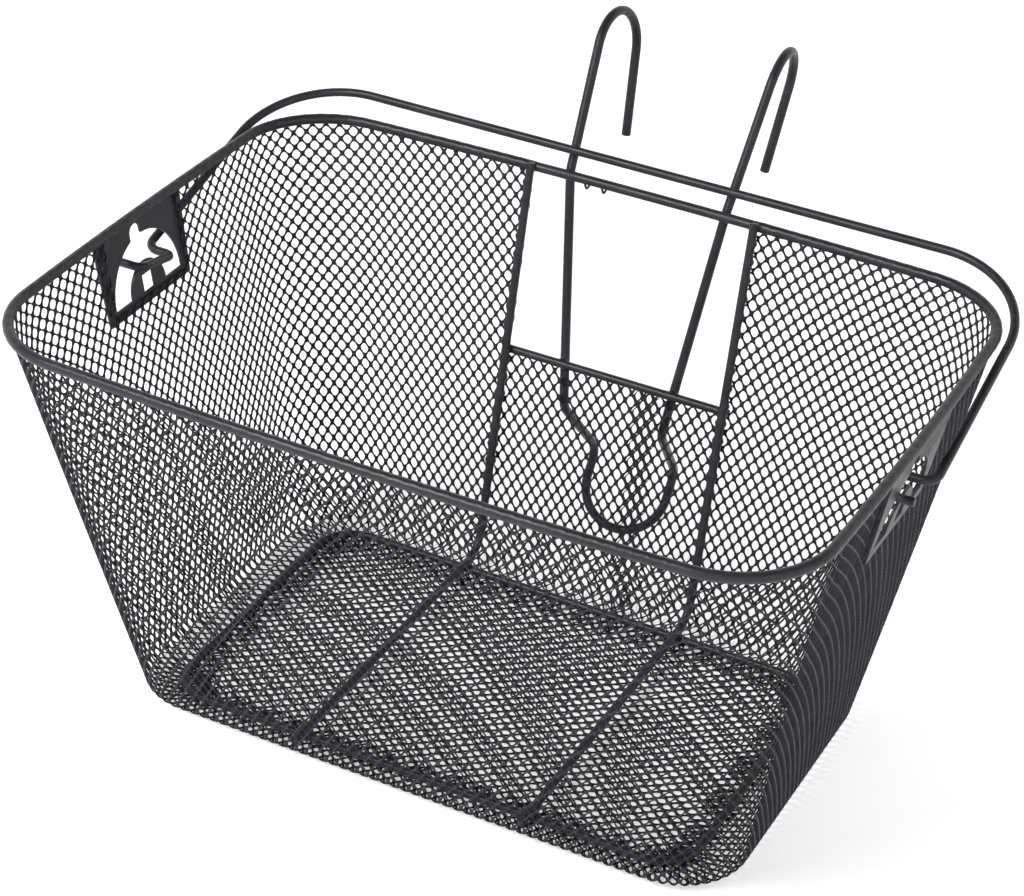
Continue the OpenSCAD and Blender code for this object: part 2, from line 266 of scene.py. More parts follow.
def hole_shape(n):
    """Rounded diamond of unit reach, as n points from +u anticlockwise."""
    t = np.arange(n) * 2 * math.pi / n
    r = 1 / (np.abs(np.cos(t)) ** HOLE_ROUND + np.abs(np.sin(t)) ** HOLE_ROUND) ** (1 / HOLE_ROUND)
    return np.stack([r * np.cos(t), r * np.sin(t)], -1)


def strip(outer, inner, per_quarter):
    """Triangles between a cell's 8 outer points and its hole's points."""
    faces = []
    n, m = len(outer), len(inner)
    for q in range(4):
        o = [outer[(q * 2 + k) % n] for k in range(3)]
        i = [inner[(q * per_quarter + k) % m] for k in range(per_quarter + 1)]
        faces += [(o[0], o[1], i[1]), (o[0], i[1], i[0]), (o[1], i[2], i[1])]
        faces += [(o[1], o[2], i[2]), (o[2], i[3], i[2])]
    return faces


def cell_faces():
    """Faces of one cell: vertices 0-7 outside edge, 8-15 inside edge, then three hole loops."""
    n = HOLE_POINTS
    loops = [list(range(16 + k * n, 16 + (k + 1) * n)) for k in range(3)]
    top = strip(list(range(8)), loops[0], n // 4)
    bottom = [f[::-1] for f in strip(list(range(8, 16)), loops[2], n // 4)]
    sides = []
    for k in range(n):
        j = (k + 1) % n
        for upper, lower in ((loops[0], loops[1]), (loops[1], loops[2])):
            sides.append((upper[k], upper[j], lower[j]))
            sides.append((upper[k], lower[j], lower[k]))
    return np.array(top + bottom + sides)


CELL_FACES = cell_faces()


def cell_points(cells, surface, squeeze):
    """Points of every cell, in the order that cell_faces counts them in."""
    u0, v0, half, below, above, pitch = cells.T
    high = (above + below) / 2
    reach = half * pitch * high / np.hypot(half * pitch, high)
    scale = np.clip(1 - STRAND_HALF / reach, HOLE_LEAST, 1) * HOLE_FILL
    hole = hole_shape(HOLE_POINTS)

    def place(uv, lift, grow):
        u = uv[None, :, 0] * grow[:, None]
        v = uv[None, :, 1] * grow[:, None]
        along = u0[:, None] + u * half[:, None]
        up = v0[:, None] + np.where(v > 0, v * above[:, None], v * below[:, None])
        along, up = squeeze(along, up, u0[:, None], v0[:, None])
        return surface(along, up, np.broadcast_to(lift, along.shape))

    one = np.ones(len(cells))
    crown = STRAND_THICK / 2
    tilt = -STRAND_TWIST * hole[None, :, 1]
    shoulder = scale + SHOULDER_IN * (1 - scale)
    parts = [
        place(RIM_UV, crown, one),
        place(RIM_UV, -crown, one),
        place(hole, SHOULDER_UP * crown + tilt, shoulder),
        place(hole, tilt, scale),
        place(hole, -SHOULDER_UP * crown + tilt, shoulder),
    ]
    return np.concatenate(parts, 1)


def join_cells(points):
    """One vertex list for all cells, and each cell's indices: strand centre lines are shared."""
    count, per_cell = points.shape[:2]
    keys = np.round(points[:, :16] * WELD_GRID).astype(np.int64).reshape(-1, 3)
    _, first, shared = np.unique(keys, axis=0, return_index=True, return_inverse=True)
    index = np.empty((count, per_cell), np.int64)
    index[:, :16] = shared.reshape(count, 16)
    own = per_cell - 16
    index[:, 16:] = len(first) + np.arange(count * own).reshape(count, own)
    vertices = np.concatenate([points[:, :16].reshape(-1, 3)[first], points[:, 16:].reshape(-1, 3)])
    return vertices, index


def cut_edges(index):
    """Faces that close the sheet's cut edge, where a strand centre line has a cell on one side only."""
    a = index[:, :8]
    b = np.roll(a, -1, axis=1)
    low_a = index[:, 8:16]
    low_b = np.roll(low_a, -1, axis=1)
    pair = np.sort(np.stack([a.ravel(), b.ravel()], -1), axis=1)
    _, where, count = np.unique(pair, axis=0, return_inverse=True, return_counts=True)
    edge = (count[where.ravel()] == 1) & (a.ravel() != b.ravel())
    a, b, low_a, low_b = (q.ravel()[edge] for q in (a, b, low_a, low_b))
    return np.concatenate([np.stack([b, a, low_a], -1), np.stack([b, low_a, low_b], -1)])


def expanded_metal(name, cells, surface, squeeze):
    """A sheet of diamond cells. cells holds (u, v, half width, half height below, above, pitch) rows."""
    vertices, index = join_cells(cell_points(cells, surface, squeeze))
    faces = np.concatenate([index[:, CELL_FACES].reshape(-1, 3), cut_edges(index)])
    good = (faces[:, 0] != faces[:, 1]) & (faces[:, 1] != faces[:, 2]) & (faces[:, 0] != faces[:, 2])
    return mesh_object(name, vertices * MM, faces[good].tolist())


def mesh_object(name, vertices, faces):
    mesh = bpy.data.meshes.new(name)
    mesh.from_pydata([tuple(v) for v in vertices], [], faces)
    mesh.validate()
    mesh.update()
    for p in mesh.polygons:
        p.use_smooth = True
    piece = bpy.data.objects.new(name, mesh)
    bpy.context.scene.collection.objects.link(piece)
    return piece


# ---------- the basket's sheets ----------

# rows go on this far past the rim before they are cut off, and a cell may pass it by a share of a strand
SPARE_RUN, PAST_RIM_CELL = 6, 0.4


def row_heights():
    """Run of each half row, so that every strand keeps its length as the columns spread."""
    runs = [0.0]
    while runs[-1] < RIM_RUN + CORNER_SAG + SPARE_RUN:
        p = sheet_point(np.array([0.0, 1.0]), np.array([runs[-1]] * 2))
        pitch = min(np.linalg.norm(p[1] - p[0]), WIDEST_CELL * STRAND_LENGTH)
        runs.append(runs[-1] + math.sqrt(STRAND_LENGTH**2 - (pitch / 2) ** 2))
    return runs


def wall_cells(first, last, phase=0.0):
    """Cells whose column lies from first to last, with the cut-out and plate openings left free."""
    runs = row_heights()
    rows = []
    for j in range(1, len(runs) - 1):
        for i in range(math.floor(first), math.ceil(last) + 1):
            c = i + 0.5 * (j % 2) + phase
            if first <= c < last:
                rows.append((c, runs[j], 0.5, runs[j] - runs[j - 1], runs[j + 1] - runs[j]))
    cells = np.array(rows)
    column, run = sheet_param(cells[:, 0], cells[:, 1])
    centre = sheet_point(column, run)
    beside = sheet_point(column + 0.5, run) - sheet_point(column - 0.5, run)
    cells = np.column_stack([cells, np.linalg.norm(beside, axis=1)])
    keep = (run < RIM_RUN + PAST_RIM_CELL * STRAND_LENGTH) & ~in_opening(centre)
    return cells[keep]


# half width of the rear cut-out, and the openings behind the side plates
CUT_X = STRUT_X - 0.6
PLATE_X, PLATE_Y, PLATE_HALF, PLATE_BOTTOM = 120, -2, 29.5, 170
# steps of the search for an opening's edge, and the share of the way past it that a strand keeps
EDGE_STEPS, EDGE_KEEP = 9, 0.12


def in_cutout(p):
    return (p[..., 1] > 0) & (np.abs(p[..., 0]) < CUT_X) & (p[..., 2] > BAR_Z)


def in_plate_opening(p):
    beside = np.abs(p[..., 1] - PLATE_Y) < PLATE_HALF
    return (np.abs(p[..., 0]) > PLATE_X) & beside & (p[..., 2] > PLATE_BOTTOM)


def in_opening(p):
    return in_cutout(p) | in_plate_opening(p)


def wall_squeeze(along, up, u0, v0):
    """Pulls what crosses the edge of an opening back to that edge, where a wire or plate covers it."""
    column, run = sheet_param(along, up)
    p = sheet_point(column, run)
    base_column, base_run = sheet_param(u0, v0)
    q = np.broadcast_to(sheet_point(base_column, base_run), p.shape)
    low, high = np.zeros(p.shape[:-1]), np.ones(p.shape[:-1])
    inside = in_opening(p)
    start_column = np.broadcast_to(base_column, column.shape)
    start_run = np.broadcast_to(base_run, run.shape)
    for _ in range(EDGE_STEPS):
        mid = (low + high) / 2
        m = sheet_point(start_column + (column - start_column) * mid, start_run + (run - start_run) * mid)
        hit = in_opening(m)
        low, high = np.where(hit, low, mid), np.where(hit, mid, high)
    share = np.where(inside & ~in_cutout(q), low + EDGE_KEEP * (1 - low), 1.0)
    return start_column + (column - start_column) * share, start_run + (run - start_run) * share


def no_squeeze(along, up, u0, v0):
    return along, up


def floor_cells():
    """Cells of the flat floor sheet, inside a rounded rectangle past the ring."""
    px, py = FLOOR_PITCH
    half_x = floor_high[0] - px / 2
    half_y = (floor_high[1] - floor_low[1]) / 2 - py / 2
    mid_y = (floor_high[1] + floor_low[1]) / 2
    rows = []
    for j in range(-int(half_y / py * 2), int(half_y / py * 2) + 1):
        for i in range(-int(half_x / px) - 1, int(half_x / px) + 2):
            x, y = (i + 0.5 * (j % 2)) * px, j * py / 2
            over = math.hypot(max(abs(x) - half_x + RING_R, 0), max(abs(y) - half_y + RING_R, 0))
            if over < RING_R and abs(x) < half_x and abs(y) < half_y:
                rows.append((x, mid_y + y, px / 2, py / 2, py / 2, 1.0))
    return np.array(rows)


# ---------- wires ----------


def bent_path(points, radii, step=6.0):
    """A wire's centre line: straight runs joined by arcs, one radius per point."""
    pts = [np.array(p, float) for p in points]
    out = [pts[0]]
    for i in range(1, len(pts) - 1):
        a, b = unit(pts[i] - pts[i - 1]), unit(pts[i + 1] - pts[i])
        turn = math.acos(max(-1, min(1, float(a @ b))))
        r = radii[i]
        start = pts[i] - a * r * math.tan(turn / 2)
        centre = pts[i] + unit(b - a) * r / math.cos(turn / 2)
        e1, axis = unit(start - centre), unit(np.cross(a, b))
        e2 = np.cross(axis, e1)
        n = max(4, int(math.degrees(turn) / step))
        angles = [turn * k / n for k in range(n + 1)]
        out += [centre + r * (e1 * math.cos(t) + e2 * math.sin(t)) for t in angles]
    return out + [pts[-1]]


def dense(path, longest):
    """The path with its long runs divided."""
    out = [path[0]]
    for p, q in zip(path, path[1:]):
        n = max(1, int(np.linalg.norm(q - p) / longest))
        out += [p + (q - p) * (k + 1) / n for k in range(n)]
    return out


def tube(name, path, radius, closed=False, sides=24, surface=None):
    """A round wire along a path, with rounded ends. surface(angles, length) gives an extra radius."""
    vertices, faces = tube_data(path, radius, closed, sides, surface)
    return mesh_object(name, vertices * MM, faces)


def tube_data(path, radius, closed=False, sides=24, surface=None):
    path = np.array(path, float)
    if closed:
        tangents = np.roll(path, -1, 0) - np.roll(path, 1, 0)
    else:
        tangents = np.gradient(path, axis=0)
    tangents /= np.linalg.norm(tangents, axis=1, keepdims=True)
    if not closed:
        path[0] += tangents[0] * END_ROUND * radius
        path[-1] -= tangents[-1] * END_ROUND * radius
    rings = tube_rings(path, tangents, radius, sides, surface)
    if not closed:
        start = round_end(rings[0], path[0], -tangents[0], radius)
        rings = start[::-1] + rings + round_end(rings[-1], path[-1], tangents[-1], radius)
    return np.concatenate(rings), tube_faces(len(rings), sides, closed)


def tube_rings(path, tangents, radius, sides, surface):
    """A ring of points at each point of the path, carried along without twist."""
    up = np.array([0.0, 0.0, 1.0]) if abs(tangents[0][2]) < 0.9 else np.array([0.0, 1.0, 0.0])
    normal = unit(np.cross(up, tangents[0]))
    lengths = np.concatenate([[0], np.cumsum(np.linalg.norm(np.diff(path, axis=0), axis=1))])
    angles = np.arange(sides) * 2 * math.pi / sides
    rings = []
    for point, tangent, length in zip(path, tangents, lengths):
        normal = unit(normal - tangent * (normal @ tangent))
        other = np.cross(tangent, normal)
        r = radius + (surface(angles, length) if surface else 0 * angles)
        around = (r * np.cos(angles))[:, None] * normal + (r * np.sin(angles))[:, None] * other
        rings.append(point + around)
    return rings


def tube_faces(count, sides, closed):
    faces = []
    for i in range(count if closed else count - 1):
        for k in range(sides):
            j, m = (i + 1) % count, (k + 1) % sides
            faces.append((i * sides + k, i * sides + m, j * sides + m, j * sides + k))
    if not closed:
        faces.append(tuple(range(sides))[::-1])
        faces.append(tuple((count - 1) * sides + k for k in range(sides)))
    return faces


def round_end(ring, centre, direction, radius):
    """Rings that round off the end of a wire."""
    edge = END_ROUND * radius
    out = []
    for lean in (math.radians(32), math.radians(62), math.radians(90)):
        share = 1 - END_ROUND * (1 - math.cos(lean))
        out.append(centre + (ring - centre) * share + direction * edge * math.sin(lean))
    return out


# ---------- materials ----------

# noise scales per metre of the tone and the gloss, the spread of each, and a noise's usual range
TONE_SCALE, TONE_DARK, TONE_LIGHT = 60, 0.75, 1.25
GLOSS_SCALE, GLOSS_LESS, GLOSS_MORE = 220, 0.06, 0.08
NOISE_LOW, NOISE_HIGH = 0.3, 0.7
PEEL_STRENGTH = 0.4


def noise(tree, scale, detail):
    """A noise that stays with the piece."""
    place = tree.nodes.get("place") or tree.nodes.new("ShaderNodeTexCoord")
    place.name = "place"
    node = tree.nodes.new("ShaderNodeTexNoise")
    node.inputs["Scale"].default_value = scale
    node.inputs["Detail"].default_value = detail
    tree.links.new(place.outputs["Object"], node.inputs["Vector"])
    return node.outputs["Fac"]


def spread(tree, source, low, high):
    """The noise's usual range, spread from low to high."""
    node = tree.nodes.new("ShaderNodeMapRange")
    node.inputs["From Min"].default_value = NOISE_LOW
    node.inputs["From Max"].default_value = NOISE_HIGH
    node.inputs["To Min"].default_value = low
    node.inputs["To Max"].default_value = high
    tree.links.new(source, node.inputs["Value"])
    return node.outputs["Result"]


def powder_coat(name, color, roughness, specular, grain, depth):
    """Black powder coat: fine orange peel, uneven gloss and a slight change of tone."""
    material = bpy.data.materials.new(name)
    material.use_nodes = True
    tree = material.node_tree
    nodes, links = tree.nodes, tree.links
    shader = nodes["Principled BSDF"]
    shader.inputs["Specular IOR Level"].default_value = specular
    tone = nodes.new("ShaderNodeMix")
    tone.data_type = "RGBA"
    dark, light = (next(i for i in tone.inputs if i.name == n and i.type == "RGBA") for n in "AB")
    dark.default_value = (*[c * TONE_DARK for c in color], 1)
    light.default_value = (*[c * TONE_LIGHT for c in color], 1)
    links.new(spread(tree, noise(tree, TONE_SCALE, 3), 0, 1), tone.inputs[0])
    links.new(next(o for o in tone.outputs if o.type == "RGBA"), shader.inputs["Base Color"])
    gloss = spread(tree, noise(tree, GLOSS_SCALE, 4), roughness - GLOSS_LESS, roughness + GLOSS_MORE)
    links.new(gloss, shader.inputs["Roughness"])
    bump = nodes.new("ShaderNodeBump")
    bump.inputs["Strength"].default_value = PEEL_STRENGTH
    bump.inputs["Distance"].default_value = depth
    links.new(noise(tree, grain, 2), bump.inputs["Height"])
    links.new(bump.outputs["Normal"], shader.inputs["Normal"])
    return material


record_colors = {m["slot"]: m["base_color"] for m in frame["record"]["materials"]}
# roughness, specular level, and orange-peel scale per metre and depth in metres of each slot's coat
COATS = {
    "frame_wire": (0.34, 0.30, 900, 0.00012),
    "hook_wire": (0.34, 0.22, 900, 0.00010),
    "handle_wire": (0.32, 0.26, 900, 0.00010),
    "plate": (0.38, 0.26, 700, 0.00015),
    "mesh": (0.46, 0.09, 1100, 0.00010),
}
coats = {slot: powder_coat(slot + "_coat", record_colors[slot], *look) for slot, look in COATS.items()}


def finish_piece(piece, slot, body="basket", node=None):
    piece.data.materials.clear()
    piece.data.materials.append(coats[slot])
    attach(piece, body)
    if node:
        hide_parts(node)
    return piece


# ---------- walls and floor ----------

# sectors of the wall, by columns from the middle of the rear towards +X
SECTORS = {
    "wall_rear_right": (0, 26),
    "wall_right": (26, 64),
    "wall_front_right": (64, 90),
    "wall_front_left": (90, 116),
    "wall_left": (116, 154),
    "wall_rear_left": (154, 180),
}

# the sheet's two ends overlap in a narrow lap on the rear wall, below the crossbar: its columns, how
# far its cells are out of step with the wall's, and how far it lies behind them
SEAM, SEAM_PHASE, LAP = (3.1, 4.8), 0.25, -0.85


def lap_surface(along, up, lift):
    return wall_surface(along, up, lift + LAP)


for name, (first, last) in SECTORS.items():
    sector = expanded_metal(name, wall_cells(first, last), wall_surface, wall_squeeze)
    finish_piece(sector, "mesh", node="wall_mesh")

seam = expanded_metal("wall_seam", wall_cells(*SEAM, phase=SEAM_PHASE), lap_surface, wall_squeeze)
finish_piece(seam, "mesh")

floor = expanded_metal("floor_sheet", floor_cells(), floor_surface, no_squeeze)
finish_piece(floor, "mesh", node="floor_mesh")

# ---------- frame wires ----------


def bowed_loop(half_x, half_y, radius, bow, z, shift_y, steps):
    column = np.arange(steps) * COLUMNS / steps
    one = np.ones(steps)
    x, y = outline(column, half_x * one, half_y * one, radius * one, bow * one)
    return np.stack([x, y + shift_y, z * one], -1)


# the sheet's rolled edge: its radius, and its strands' pitch, count round the wire, rise and sharpness
HEM_RADIUS, HEM_PITCH, HEM_CELLS, HEM_RISE, HEM_SHARP = 2.45, 7.2, 2, 0.12, 4
RIM_STEPS, HEM_STEPS, RING_STEPS = 360, 1200, 240


def hem_ridges(angles, length):
    """The sheet's strands where its top edge is rolled round the rim wire."""
    turns = angles / (2 * math.pi) * HEM_CELLS
    one, two = length / HEM_PITCH + turns, length / HEM_PITCH - turns
    ridge = np.maximum(np.abs(np.cos(math.pi * one)), np.abs(np.cos(math.pi * two)))
    return HEM_RISE * ridge**HEM_SHARP


rim_path = bowed_loop(RIM_W / 2, RIM_DEPTH / 2, RIM_R, RIM_BOW, RIM_H, 0, RIM_STEPS)
finish_piece(tube("rim", rim_path, RIM_D / 2, closed=True), "frame_wire", node="rim_wire")

hem_path = bowed_loop(RIM_W / 2, RIM_DEPTH / 2, RIM_R, RIM_BOW, RIM_H, 0, HEM_STEPS)
start = int(np.argmax((hem_path[:, 0] > STRUT_X) & (hem_path[:, 1] > 0)))
hem_path = hem_path[start : len(hem_path) - start + 1]
hem = tube("hem", hem_path, HEM_RADIUS, sides=20, surface=hem_ridges)
finish_piece(hem, "frame_wire")

ring_path = bowed_loop(RING_W / 2, RING_DEPTH / 2, RING_R, FOOT_BOW, RING_Z, RING_SHIFT, RING_STEPS)
finish_piece(tube("ring", ring_path, RING_D / 2, closed=True), "frame_wire", node="base_ring")

# how far wires sink into each other where they are welded
WELD_SINK = 0.2
STRUT_INSET = (STRUT_D - WELD_SINK) / math.cos(REAR_LEAN)
STRUT_BEND = 14
# the knots on a strut: their pitch, height, half length and how closely they keep to its sides
KNOT_PITCH, KNOT_RISE, KNOT_HALF, KNOT_NARROW = 9.2, 0.9, 1.5, 1.5
# spacing of the rings on a strut, and on the other long wires
KNOT_STEP, WIRE_STEP = 0.6, 8
strut_floor_z = left_low[2] + STRUT_D / 2
strut_top_z = STRUT_TOP - STRUT_D / 2 * math.sin(REAR_LEAN)


def strand_knots(side):
    """Knots where the sheet's strands meet a strut; beside the cut-out only on its outer side."""

    def knots(angles, length):
        from_knot = (length + KNOT_PITCH / 2) % KNOT_PITCH - KNOT_PITCH / 2
        size = KNOT_RISE * math.exp(-((from_knot / KNOT_HALF) ** 2)) if length < RIM_H - STRUT_BEND else 0
        outward = -side * np.cos(angles)
        reach = np.abs(outward) if length > RIM_H - BAR_Z else np.maximum(outward, 0)
        return size * reach**KNOT_NARROW

    return knots


for side, node in ((-1, "strut_left"), (1, "strut_right")):
    x = side * STRUT_X
    strut_points = [
        (x, rear_y(strut_top_z) - STRUT_INSET, strut_top_z),
        (x, rear_y(strut_floor_z) - STRUT_INSET, strut_floor_z),
        (x, STRUT_FRONT, strut_floor_z),
    ]
    strut_path = dense(bent_path(strut_points, [0, STRUT_BEND, 0]), KNOT_STEP)
    upright = tube(node.replace("strut", "upright"), strut_path, STRUT_D / 2, surface=strand_knots(side))
    finish_piece(upright, "frame_wire", node=node)

bar_path = dense([np.array([x, rear_y(BAR_Z), BAR_Z]) for x in (-BAR_HALF, BAR_HALF)], WIRE_STEP)
finish_piece(tube("cross_wire", bar_path, STRUT_D / 2), "frame_wire", node="crossbar")

# ---------- hooks and loop ----------

# the hooks' wire, their place on the rim, their bends, and the straight runs before and after the hook
HOOK_D = 4.6
HOOK_X, HOOK_R, HOOK_TURN, KINK_R = 41, 20.3, math.radians(166.6), 10
HOOK_LEG, HOOK_END = 62, 43
HOOK_TOE = math.radians(3.5)
# the steering-tube loop: half width, height of its lowest point, how far it stands behind the legs at
# its top, and how far it comes forward for each millimetre that it drops
LOOP_X, LOOP_H, LOOP_BACK, LOOP_SLOPE = 22, 21.5, 34, 0.68
# the legs at the crossbar, and the jog that takes them out to the loop
LEG_X_AT_BAR, JOG_TOP, JOG_LOW, JOG_R = 29.5, 92, 52, 9.5
BEND_STEP = 4.0
hook_dir = unit(np.array([0.067, 0.583, 1.0]))
toe_dir = np.array([-math.sin(HOOK_TOE), math.cos(HOOK_TOE), 0.0])
hook_out = unit(toe_dir - hook_dir * (hook_dir @ toe_dir))


def hook_points():
    """Right half of the hook frame, from its free end to the loop's lowest corner."""
    kink_y = RIM_DEPTH / 2 + ((RIM_D + HOOK_D) / 2 - WELD_SINK) / math.cos(REAR_LEAN)
    pass_y = rear_y(BAR_Z) + ((STRUT_D + HOOK_D) / 2 - WELD_SINK) / math.cos(REAR_LEAN)
    kink = np.array([HOOK_X, kink_y, RIM_H])
    crossing = np.array([LEG_X_AT_BAR, pass_y, BAR_Z])
    leg = (kink - crossing) / (kink[2] - crossing[2])
    jog_top = crossing + leg * (JOG_TOP - BAR_Z)
    jog_low = np.array([LOOP_X, jog_top[1] + LOOP_BACK, JOG_LOW])
    low = np.array([LOOP_X, jog_low[1] - LOOP_SLOPE * (JOG_LOW - LOOP_H), LOOP_H])
    reach = HOOK_R * math.tan(HOOK_TURN / 4)
    first = kink + hook_dir * (HOOK_LEG + reach)
    over = hook_dir * math.cos(HOOK_TURN / 2) + hook_out * math.sin(HOOK_TURN / 2)
    second = first + over * 2 * reach
    down = hook_dir * math.cos(HOOK_TURN) + hook_out * math.sin(HOOK_TURN)
    return [second + down * (reach + HOOK_END), second, first, kink, jog_top, jog_low, low]


def both_halves(points, radii):
    mirrored = [p * np.array([-1, 1, 1]) for p in points[::-1]]
    return points + mirrored, radii + radii[::-1]


half_hook = hook_points()
hook_bends = [0, HOOK_R, HOOK_R, KINK_R, JOG_R, JOG_R, LOOP_X]
hook_path = bent_path(*both_halves(half_hook, hook_bends), step=BEND_STEP)
finish_piece(tube("hooks", dense(hook_path, WIRE_STEP), HOOK_D / 2), "hook_wire", node="hook_frame")

# ---------- carry handle ----------

# the handle's wire, and its arms' place just outside the rim
HANDLE_D, HANDLE_GAP = 4.2, 0.5
HANDLE_X = RIM_W / 2 + (RIM_D + HANDLE_D) / 2 + HANDLE_GAP
# the hooked end that goes through the plate: inside it, along the arm, and the stub's turn and reach
STAPLE_X, STAPLE_U, STAPLE_R, ARM_R = 183.2, 19.5, 4, 6
STUB_R, STUB_TURN, STUB_X = 13.2, math.radians(109), 197.5
HANDLE_LEN, HANDLE_R, HANDLE_TILT = 155.8, 48, math.radians(16.5)


def handle_points():
    """Right half of the handle, from the stub to the corner, turned to its folded rest."""
    stub_u, stub_n = STUB_R * math.cos(STUB_TURN), STUB_R * math.sin(STUB_TURN)
    flat = [
        (STUB_X, stub_u, stub_n),
        (STAPLE_X, stub_u, stub_n),
        (STAPLE_X, STAPLE_U, 0),
        (HANDLE_X, STAPLE_U, 0),
        (HANDLE_X, HANDLE_LEN, 0),
    ]
    c, s = math.cos(HANDLE_TILT), math.sin(HANDLE_TILT)
    return [np.array([x, PIVOT_Y + u * c - n * s, PIVOT_Z + u * s + n * c]) for x, u, n in flat]


handle_bends = [0, STAPLE_R, STAPLE_R, ARM_R, HANDLE_R]
handle_path = bent_path(*both_halves(handle_points(), handle_bends), step=BEND_STEP)
handle = tube("bail", dense(handle_path, WIRE_STEP), HANDLE_D / 2)
finish_piece(handle, "handle_wire", body="handle", node="carry_handle")

# ---------- side plates ----------

# width of the rounded edge, the angle between faces of one flat side, and the least angle of an edge
PLATE_EDGE, FLAT_TURN, SHARP_TURN = 0.3, math.radians(1), math.radians(40)


def softened(name, node, width):
    """A copy of a flat CAD part with small rounded edges."""
    source = frame["nodes"][node].data
    work = bmesh.new()
    work.from_mesh(source)
    bmesh.ops.remove_doubles(work, verts=work.verts, dist=1e-6)
    bmesh.ops.dissolve_limit(
        work, angle_limit=FLAT_TURN, verts=work.verts, edges=work.edges, delimit=set()
    )
    sharp = [e for e in work.edges if len(e.link_faces) == 2 and e.calc_face_angle(0) > SHARP_TURN]
    bmesh.ops.bevel(work, geom=sharp, offset=width * MM, segments=2, profile=0.5, affect="EDGES")
    bmesh.ops.triangulate(work, faces=work.faces)
    mesh = bpy.data.meshes.new(name)
    work.to_mesh(mesh)
    work.free()
    piece = bpy.data.objects.new(name, mesh)
    bpy.context.scene.collection.objects.link(piece)
    return piece


for side in ("left", "right"):
    node = "side_plate_" + side
    finish_piece(softened("plate_" + side, node, PLATE_EDGE), "plate", node=node)

# ---------- welds ----------


def grown_together(name, runs, beads, voxel=0.36, rounds=8):
    """Short stretches of crossing wires and weld beads, run together into one smooth lump."""
    vertices, faces, base = [], [], 0
    for start, end, radius in runs:
        v, f = tube_data(dense([np.array(start, float), np.array(end, float)], 1.0), radius, sides=16)
        vertices.append(v)
        faces += [tuple(i + base for i in face) for face in f]
        base += len(v)
    for centre, radius in beads:
        ball = bmesh.new()
        bmesh.ops.create_icosphere(ball, subdivisions=3, radius=radius)
        vertices.append(np.array([v.co for v in ball.verts]) + np.array(centre))
        faces += [tuple(v.index + base for v in face.verts) for face in ball.faces]
        base += len(ball.verts)
        ball.free()
    lump = mesh_object(name, np.concatenate(vertices) * MM, faces)
    remesh = lump.modifiers.new("remesh", "REMESH")
    remesh.mode = "VOXEL"
    remesh.voxel_size = voxel * MM
    smooth = lump.modifiers.new("smooth", "SMOOTH")
    smooth.factor = 0.5
    smooth.iterations = rounds
    bpy.context.view_layer.update()
    shape = lump.evaluated_get(bpy.context.evaluated_depsgraph_get())
    mesh = bpy.data.meshes.new_from_object(shape)
    lump.modifiers.clear()
    lump.data = mesh
    for p in mesh.polygons:
        p.use_smooth = True
    return lump


# how much a weld stands out from its wires, and the bead in its middle
WELD_GROW, BEAD_SHARE, BEAD_EXTRA = 0.12, 0.98, 0.35
# how far a weld's lump runs along its wires: in general, and where a wire ends or bends close by
WELD_REACH, RIM_STRUT_REACH, BAR_END_REACH, RIM_HOOK_REACH = 4.6, 2.8, 2.1, 3.4
# how far below the leg's kink the weld on the rim lies
KINK_DROP = 2.2


def cross_weld(name, first, first_dir, first_r, second, second_dir, second_r, reach=WELD_REACH):
    """The weld where two wires touch, given a point on and the direction of each wire."""
    runs = []
    for at, along, r in ((first, first_dir, first_r), (second, second_dir, second_r)):
        at, along = np.array(at, float), unit(np.array(along, float))
        runs.append((at - along * reach, at + along * reach, r + WELD_GROW))
    middle = (np.array(first, float) + np.array(second, float)) / 2
    bead = BEAD_SHARE * min(first_r, second_r) + BEAD_EXTRA
    weld = grown_together(name, runs, [(middle, bead)])
    finish_piece(weld, "frame_wire")


x_dir, y_dir = (1, 0, 0), (0, 1, 0)
up_wall = (0, REAR_SLOPE, 1)
rim_drop = RIM_BOW - math.sqrt(RIM_BOW**2 - STRUT_X**2)
kink, jog = half_hook[3], half_hook[4]
bar_pass = jog + (kink - jog) * (BAR_Z - jog[2]) / (kink[2] - jog[2])


def weld_strut(side, tag):
    """A strut's welds to the rim and to the crossbar."""
    x = side * STRUT_X
    on_rim = (x, RIM_DEPTH / 2 - rim_drop, RIM_H)
    on_strut = (x, rear_y(RIM_H) - STRUT_INSET, RIM_H)
    name, reach = "weld_rim_strut_" + tag, RIM_STRUT_REACH
    cross_weld(name, on_rim, x_dir, RIM_D / 2, on_strut, up_wall, STRUT_D / 2, reach)
    on_strut = (x, rear_y(BAR_Z) - STRUT_INSET, BAR_Z)
    on_bar = (x, rear_y(BAR_Z), BAR_Z)
    name, reach = "weld_bar_strut_" + tag, BAR_END_REACH
    cross_weld(name, on_bar, x_dir, STRUT_D / 2, on_strut, up_wall, STRUT_D / 2, reach)


def weld_hook(side, tag):
    """A hook leg's welds to the rim and to the crossbar."""
    flip = np.array([side, 1, 1])
    rim_at_hook = (side * HOOK_X, RIM_DEPTH / 2 - rim_drop * (HOOK_X / STRUT_X) ** 2, RIM_H)
    leg_dir = (kink - jog) * flip
    below = kink * flip - unit(leg_dir) * KINK_DROP
    name, reach = "weld_rim_hook_" + tag, RIM_HOOK_REACH
    cross_weld(name, rim_at_hook, x_dir, RIM_D / 2, below, leg_dir, HOOK_D / 2, reach)
    on_bar = (side * bar_pass[0], rear_y(BAR_Z), BAR_Z)
    cross_weld("weld_bar_hook_" + tag, on_bar, x_dir, STRUT_D / 2, bar_pass * flip, leg_dir, HOOK_D / 2)


